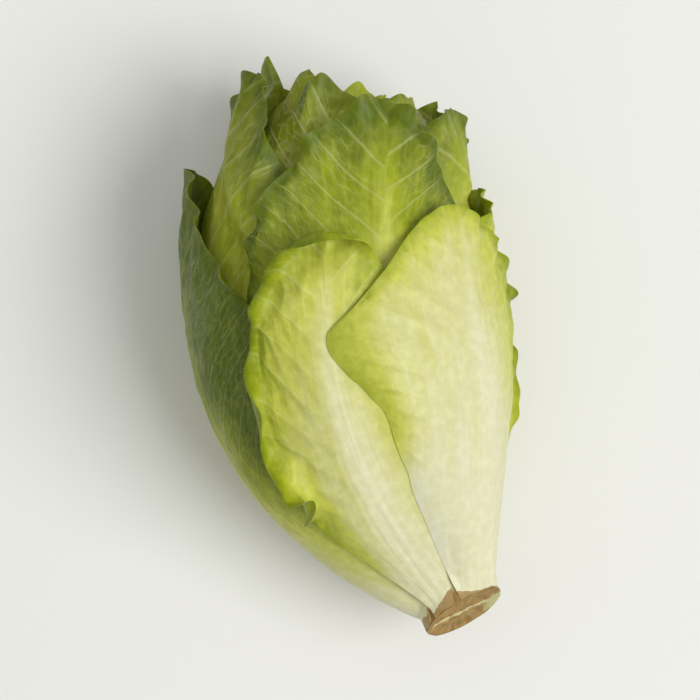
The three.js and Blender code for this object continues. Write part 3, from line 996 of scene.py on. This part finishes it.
# the stem, in millimetres
stemForm = {
    "seatGap": 0.35,  # between it and the feet of the leaves
    "land": 1.2,  # height of the straight part above its rim
    "sides": 160,
    "faceRings": 34,
    "sideRings": 60,
    "hollow": 0.7,  # how far the cut sinks between its rim and its middle
    "hollowFrom": (1.0, 0.7),  # shares of the radius
    "rough": 0.28,
    "roughSize": (1.7, 0.7),
    "ragged": 0.03,  # share of the radius by which the rim wanders
    "browned": 1.8,  # how far up its side the stem has browned
    "crackTurn": 165,  # degrees, of the pale split across the cut
    "crackBeside": 1.4,  # how far it passes from the middle
    "crackWander": 0.4,
    "crackDepth": 0.55,
    "crackWidth": 1.15,
    "crackLeast": 0.05,
    "crackMiddle": 0.6,
    "crackReach": 8.4,  # half its length
    "paleTurn": -32,  # degrees, of the side where the cut has stayed pale
    "paleFrom": (0.25, 0.9),
    "paleAmount": 0.8,
    "sharpest": 50,
}


def crackOn(px, py):  # the split's depth at each place on the cut, from 0 to 1
    form = stemForm
    turn = math.radians(form["crackTurn"])
    off = px * math.sin(turn) - py * math.cos(turn) + form["crackBeside"]
    off = off + form["crackWander"] * valueNoise(px / 2 + 4, py / 2, 9)
    along = px * math.cos(turn) + py * math.sin(turn)
    taper = np.sqrt(np.maximum(1 - ((along - form["crackMiddle"]) / form["crackReach"]) ** 2, 0))
    uneven = 0.75 + 0.45 * valueNoise(along / 2.2 + 9, along * 0, 13)
    width = form["crackWidth"] * taper * uneven + form["crackLeast"]
    return np.exp(-((off / width) ** 2)) * smooth(0, 0.3, taper)


def cutFace(turns, rimRadius):  # rings from its middle to its rim, with what the material reads there
    form = stemForm
    share = np.linspace(0, 1, form["faceRings"])[1:, None]
    radius = share * rimRadius * np.ones_like(turns)
    px, py = radius * np.cos(turns), radius * np.sin(turns)
    coarse, small = form["roughSize"]
    rough = valueNoise(px / coarse + 20, py / coarse + 20, 7) + 0.5 * valueNoise(px / small, py / small, 8)
    crack = crackOn(px, py)
    sunk = form["hollow"] * smooth(*form["hollowFrom"], share)
    sunk = sunk + form["rough"] * rough * smooth(1.0, 0.9, share) + form["crackDepth"] * crack
    wander = form["ragged"] * valueNoise(turns * 3.5 + 3, turns * 0 + 2, 12)
    ragged = 1 + wander * smooth(0.8, 1, share)
    facing = np.maximum(np.cos(turns - math.radians(form["paleTurn"])), 0) ** 3
    pale = form["paleAmount"] * smooth(*form["paleFrom"], share * facing)
    mask = np.stack([crack, share * np.ones_like(turns) + pale, np.ones_like(crack)], axis=-1)
    return toSpace(radius * ragged, sunk, turns), mask, share, ragged[-1:]


def stemSide(turns, rimRadius, rim):  # from the rim to the tip of the cone
    form = stemForm
    top = np.array(headForm["core"][0], float)
    up = np.linspace(0, 1, form["sideRings"])[1:, None]
    radius = mix(rimRadius + form["seatGap"], top[0], up) - form["seatGap"]
    along = mix(form["land"], top[1], up) - form["land"] * smooth(0.04, 0, up)
    radius = radius * np.ones_like(turns) * np.where(up < 0.03, rim, 1)
    browned = np.ones_like(radius) * smooth(form["browned"] * 2, form["browned"], up * top[1])
    mask = np.stack([np.zeros_like(radius), 0.5 * np.ones_like(radius), browned], axis=-1)
    return toSpace(radius, along * np.ones_like(turns), turns), mask, np.ones_like(up), top[1]


def stemPiece(material):
    form = stemForm
    sides = form["sides"]
    turns = np.linspace(0, 2 * np.pi, sides, endpoint=False)[None, :]
    rimRadius = profileAt(np.array(0.0))[0] - form["seatGap"]
    facePoints, faceMask, share, rim = cutFace(turns, rimRadius)
    sidePoints, sideMask, full, topHeight = stemSide(turns, rimRadius, rim)

    rings = np.concatenate([facePoints, sidePoints])
    rays = np.stack([np.cos(turns), np.sin(turns)], axis=-1) * np.ones((rings.shape[0], 1, 1))
    outward = np.concatenate([share, full]) * np.ones_like(turns)
    flow = np.concatenate([rays, outward[..., None]], axis=-1).reshape(-1, 3)
    middle, end = (toSpace(*np.array([[0.0], [height], [0.0]])) for height in (form["hollow"], topHeight))
    points = np.concatenate([rings.reshape(-1, 3), middle, end])
    masks = np.concatenate([faceMask, sideMask]).reshape(-1, 3)
    attributes = {
        "stemMask": np.concatenate([masks, [[0, 0, 1]], [[0, 1, 0]]]),
        "stemFlow": np.concatenate([flow, [[0, 0, 0]], [[0, 0, 1]]]),
    }
    count = rings.shape[0]
    at = np.arange(count * sides).reshape(count, sides)
    after = np.roll(at, -1, axis=1)
    faces = np.stack([at[:-1], at[1:], after[1:], after[:-1]], axis=-1).reshape(-1, 4).tolist()
    for k in range(sides):
        faces.append([count * sides, at[0, k], after[0, k]])
        faces.append([count * sides + 1, after[-1, k], at[-1, k]])
    mesh = bpy.data.meshes.new("stem")
    mesh.from_pydata((points * mm).tolist(), [], faces)
    piece = pieceFrom("stem.cut", mesh, attributes, form["sharpest"], material)
    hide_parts("stem")
    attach(piece, "root")
    return piece


stemColours = {
    "dark": colour(132, 98, 42),
    "brown": colour(160, 126, 56),
    "light": colour(178, 148, 80),
    "grain": colour(142, 106, 46),
    "spokes": colour(188, 158, 98),
    "vessels": colour(104, 72, 34),
    "rim": colour(112, 80, 36),
    "split": colour(214, 206, 156),
    "fresh": colour(198, 196, 136),
    "freshSpokes": colour(208, 196, 146),
    "side": colour(214, 212, 160),
}

# noises in waves per metre, places as shares of the cut's radius, how far light goes in in metres
stemLook = {
    "blotches": 330.0,
    "grain": 1500.0,
    "blotchPlaces": (0.32, 0.5, 0.70),  # of the dark, the middle and the light brown
    "grainAmount": 0.35,
    "spokes": (5.5, 5.5, 1.3),  # waves round the stem, twice, and outwards
    "spokeAmount": 0.55,
    "vesselRing": (0.24, 0.50),  # how far it wanders and where it begins
    "vesselWidth": 0.07,
    "vesselAmount": 0.6,
    "rim": (0.88, 0.99, 0.35),  # where it darkens, between these, and by how much
    "edgeRagged": (1.3, 0.5),  # of the fresh part, by blotches and by grain
    "edge": (1.1, 1.5, 0.92),  # where the fresh part comes in, and how strongly
    "rough": (0.55, 0.8),
    "heights": {"blotches": 0.7, "grain": 0.3},
    "soft": {"weight": 0.12, "colours": (0.9, 0.8, 0.35), "depth": 0.001},
    "bump": {"strength": 0.7, "height": 0.0006},
}


def stemMaterial():
    look, shades = stemLook, stemColours
    material, n, shader = newMaterial("cutStem", look["soft"])
    crack, share, onCut = n.parts(n.attribute("stemMask"))
    place = n.add("ShaderNodeTexCoord").outputs["Object"]
    blotches = n.noise(place, look["blotches"], 4.0, 0.6)
    grain = n.noise(place, look["grain"], 3.0)
    browns = [shades[key] for key in ("dark", "brown", "light")]
    brown = n.colours(blotches, list(zip(look["blotchPlaces"], browns)))
    brown = n.blend(n.ramp(grain, 0.35, 0.7, 0.0, look["grainAmount"]), brown, shades["grain"])

    # fibres that run out from the middle, and the ring of vessels
    flow = n.attribute("stemFlow")
    outward = n.parts(flow)[2]
    spread = n.add("ShaderNodeVectorMath", {0: flow, 1: look["spokes"]}, operation="MULTIPLY")
    spokes = n.noise(spread.outputs[0], 1.0, 3.0)
    brown = n.blend(n.ramp(spokes, 0.45, 0.7, 0.0, look["spokeAmount"]), brown, shades["spokes"])
    ring = n.sum("MULTIPLY_ADD", blotches, *look["vesselRing"])
    offRing = n.sum("ABSOLUTE", n.sum("SUBTRACT", outward, ring))
    onRing = n.ramp(offRing, 0.0, look["vesselWidth"], 1.0, 0.0)
    vessels = n.times(onRing, n.ramp(spokes, 0.35, 0.6, 1.0, 0.15), look["vesselAmount"])
    brown = n.blend(vessels, brown, shades["vessels"])
    start, end, amount = look["rim"]
    brown = n.blend(n.ramp(outward, start, end, 0.0, amount), brown, shades["rim"])

    # the split and the side of the cut that have stayed pale
    split = n.times(n.ramp(crack, 0.05, 0.6), n.ramp(blotches, 0.32, 0.5, 0.6, 1.0))
    face = n.blend(split, brown, shades["split"])
    byBlotches, byGrain = look["edgeRagged"]
    edge = n.sum("ADD", share, n.fromHalf(blotches, byBlotches))
    edge = n.sum("ADD", edge, n.fromHalf(grain, byGrain))
    fresh = n.blend(n.ramp(spokes, 0.4, 0.7, 0.0, 0.7), shades["fresh"], shades["freshSpokes"])
    start, end, amount = look["edge"]
    face = n.blend(n.ramp(edge, start, end, 0.0, amount), face, fresh)
    surface = n.blend(onCut, shades["side"], face)
    heights = look["heights"]
    height = n.sum("ADD", n.times(blotches, heights["blotches"]), n.times(grain, heights["grain"]))
    rough = n.ramp(blotches, 0.3, 0.7, *look["rough"])
    finishMaterial(n, shader, surface, rough, height, look["bump"])
    return material


# making the head
pattern = leafPattern()
bandLooks = {
    "outerLeaf": {"Veins": 0.28, "Net": 0.12, "Mottle": 0.6, "Greener": 0.0},
    "middleLeaf": {"Veins": 0.5, "Net": 0.4, "Mottle": 0.5, "Greener": 0.0},
    "heartLeaf": {"Veins": 0.45, "Net": 0.4, "Mottle": 0.4, "Greener": -0.1},
}
leafMaterials = [leafMaterial(name, pattern, look) for name, look in bandLooks.items()]
print("leaf materials made", len(leafMaterials))

sheets = [leafSheet(leaf) for leaf in leaves]
print("leaves shaped", len(sheets))
beneath = []
for leaf, sheet in zip(reversed(leaves), reversed(sheets)):  # from the heart outwards
    if leaf["band"] == 0:
        settleMargin(sheet, beneath[-relief["hugLeaves"] :])
    beneath.append(surfaceTree(sheet))
print("margins settled")
for leaf, sheet in zip(leaves, sheets):
    leafPiece(leaf, sheet, leafMaterials[leaf["band"]])
print("leaves made", len(leaves))
stemPiece(stemMaterial())
print("stem made")


# floor, light and camera, in metres
studio = {
    "floor": colour(236, 236, 232),
    "floorRough": 0.7,
    "floorSize": 4.0,
    "lamps": {
        "key": {"at": (1.26, -0.30, 1.86), "size": 1.4, "power": 35},
        "fill": {"at": (-1.6, 0.6, 1.5), "size": 2.4, "power": 6},
        "top": {"at": (0.0, 0.9, 2.5), "size": 2.6, "power": 11},
    },
    "sky": (1.0, 1.0, 0.98, 1),
    "skyStrength": 0.30,
    "lens": 135,  # millimetres, as the film's width
    "film": 36,
    "frame": 0.176,  # height of the picture at the middle of the head
    "aim": (0.0, 0.0, 0.036),
}


def makeFloor():
    half = studio["floorSize"] / 2
    mesh = bpy.data.meshes.new("floor")
    corners = [(-half, -half, 0), (half, -half, 0), (half, half, 0), (-half, half, 0)]
    mesh.from_pydata(corners, [], [(0, 1, 2, 3)])
    floor = bpy.data.objects.new("floor", mesh)
    bpy.context.scene.collection.objects.link(floor)
    material = bpy.data.materials.new("floor")
    material.use_nodes = True
    shader = material.node_tree.nodes["Principled BSDF"]
    shader.inputs["Base Color"].default_value = studio["floor"]
    shader.inputs["Roughness"].default_value = studio["floorRough"]
    mesh.materials.append(material)


def makeLights():
    for name, lamp in studio["lamps"].items():
        light = bpy.data.lights.new(name, "AREA")
        light.shape = "DISK"
        light.size = lamp["size"]
        light.energy = lamp["power"]
        placed = bpy.data.objects.new(name, light)
        placed.location = lamp["at"]
        toward = Vector(studio["aim"]) - placed.location
        placed.rotation_euler = toward.to_track_quat("-Z", "Y").to_euler()
        bpy.context.scene.collection.objects.link(placed)

    world = bpy.data.worlds.new("studio")
    world.use_nodes = True
    background = world.node_tree.nodes["Background"]
    background.inputs["Color"].default_value = studio["sky"]
    background.inputs["Strength"].default_value = studio["skyStrength"]
    bpy.context.scene.world = world


def makeCamera():
    lens = bpy.data.cameras.new("camera")
    lens.lens = studio["lens"]
    lens.sensor_width = studio["film"]
    camera = bpy.data.objects.new("camera", lens)
    distance = studio["frame"] / studio["film"] * studio["lens"]
    x, y, z = studio["aim"]
    camera.location = (x, y, z + distance)
    bpy.context.scene.collection.objects.link(camera)
    bpy.context.scene.camera = camera
    bpy.context.scene.view_settings.view_transform = "Standard"


makeFloor()
makeLights()
makeCamera()
print("studio made")
